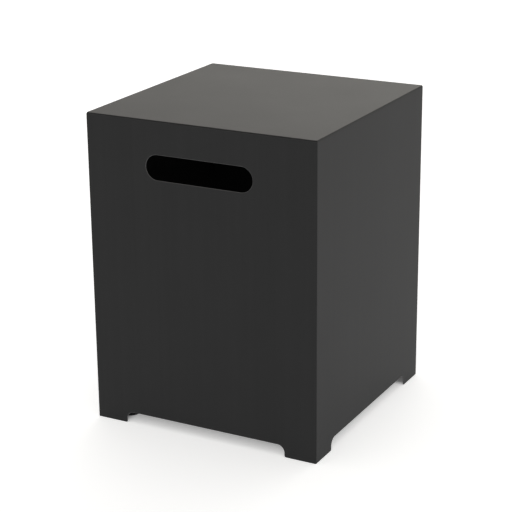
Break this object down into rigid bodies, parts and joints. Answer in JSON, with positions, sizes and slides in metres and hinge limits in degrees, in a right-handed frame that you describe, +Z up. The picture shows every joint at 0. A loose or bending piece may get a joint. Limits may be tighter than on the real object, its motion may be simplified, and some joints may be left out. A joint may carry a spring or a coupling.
{
  "type": "propane tank cover table",
  "caption": "Square sheet-steel box, open below, that covers a gas cylinder and serves as a side table, with a hand slot, low arches and screw levelling feet inside.",
  "frame": {"origin": "middle of the footprint, on the floor", "axes": "+Z up; the front with the hand slot seen in the picture faces -Y; +X is to the right seen from the front"},
  "size_m": [0.3874, 0.3874, 0.5016],
  "materials": {
    "powder_coat": "matte black powder coat with a fine texture",
    "coated_frame": "matte black powder coat, thinner and smoother inside",
    "zinc_hardware": "bright zinc plate",
    "foot_plastic": "moulded black plastic"
  },
  "bodies": {
    "cover": {"corner_angle_back_right": "coated_frame", "corner_angle_front_left": "coated_frame", "leveller_bracket_back_left": "coated_frame", "leveller_bracket_back_right": "coated_frame", "leveller_bracket_front_left": "coated_frame", "leveller_bracket_front_right": "coated_frame", "lock_nut_back_left": "zinc_hardware", "lock_nut_back_right": "zinc_hardware", "lock_nut_front_left": "zinc_hardware", "lock_nut_front_right": "zinc_hardware", "shell_back_left": "powder_coat", "shell_front_right": "powder_coat", "top_panel": "powder_coat", "top_rail_back": "coated_frame", "top_rail_front": "coated_frame", "top_rail_left": "coated_frame", "top_rail_right": "coated_frame", "top_stiffener_left": "coated_frame", "top_stiffener_right": "coated_frame"},
    "base_front_left": {"leveller_base_front_left": "foot_plastic"},
    "stud_front_left": {"leveller_stud_front_left": "zinc_hardware"},
    "base_front_right": {"leveller_base_front_right": "foot_plastic"},
    "stud_front_right": {"leveller_stud_front_right": "zinc_hardware"},
    "base_back_right": {"leveller_base_back_right": "foot_plastic"},
    "stud_back_right": {"leveller_stud_back_right": "zinc_hardware"},
    "base_back_left": {"leveller_base_back_left": "foot_plastic"},
    "stud_back_left": {"leveller_stud_back_left": "zinc_hardware"}
  },
  "joints": [
    {"name": "foot_front_left_travel", "type": "slide", "parent": "cover", "child": "base_front_left", "axis": [0, 0, -1], "range_m": [0, 0.0115]},
    {"name": "foot_front_left_screw", "type": "hinge", "parent": "base_front_left", "child": "stud_front_left", "pos_m": [-0.15668, -0.15668, 0], "axis": [0, 0, -1], "range_deg": [0, 2880]},
    {"name": "foot_front_right_travel", "type": "slide", "parent": "cover", "child": "base_front_right", "axis": [0, 0, -1], "range_m": [0, 0.0115]},
    {"name": "foot_front_right_screw", "type": "hinge", "parent": "base_front_right", "child": "stud_front_right", "pos_m": [0.15668, -0.15668, 0], "axis": [0, 0, -1], "range_deg": [0, 2880]},
    {"name": "foot_back_right_travel", "type": "slide", "parent": "cover", "child": "base_back_right", "axis": [0, 0, -1], "range_m": [0, 0.0115]},
    {"name": "foot_back_right_screw", "type": "hinge", "parent": "base_back_right", "child": "stud_back_right", "pos_m": [0.15668, 0.15668, 0], "axis": [0, 0, -1], "range_deg": [0, 2880]},
    {"name": "foot_back_left_travel", "type": "slide", "parent": "cover", "child": "base_back_left", "axis": [0, 0, -1], "range_m": [0, 0.0115]},
    {"name": "foot_back_left_screw", "type": "hinge", "parent": "base_back_left", "child": "stud_back_left", "pos_m": [-0.15668, 0.15668, 0], "axis": [0, 0, -1], "range_deg": [0, 2880]}
  ],
  "couplings": [
    {"joint": "foot_front_left_travel", "follows": "foot_front_left_screw", "m_per_rad": 0.00019894},
    {"joint": "foot_front_right_travel", "follows": "foot_front_right_screw", "m_per_rad": 0.00019894},
    {"joint": "foot_back_right_travel", "follows": "foot_back_right_screw", "m_per_rad": 0.00019894},
    {"joint": "foot_back_left_travel", "follows": "foot_back_left_screw", "m_per_rad": 0.00019894}
  ]
}
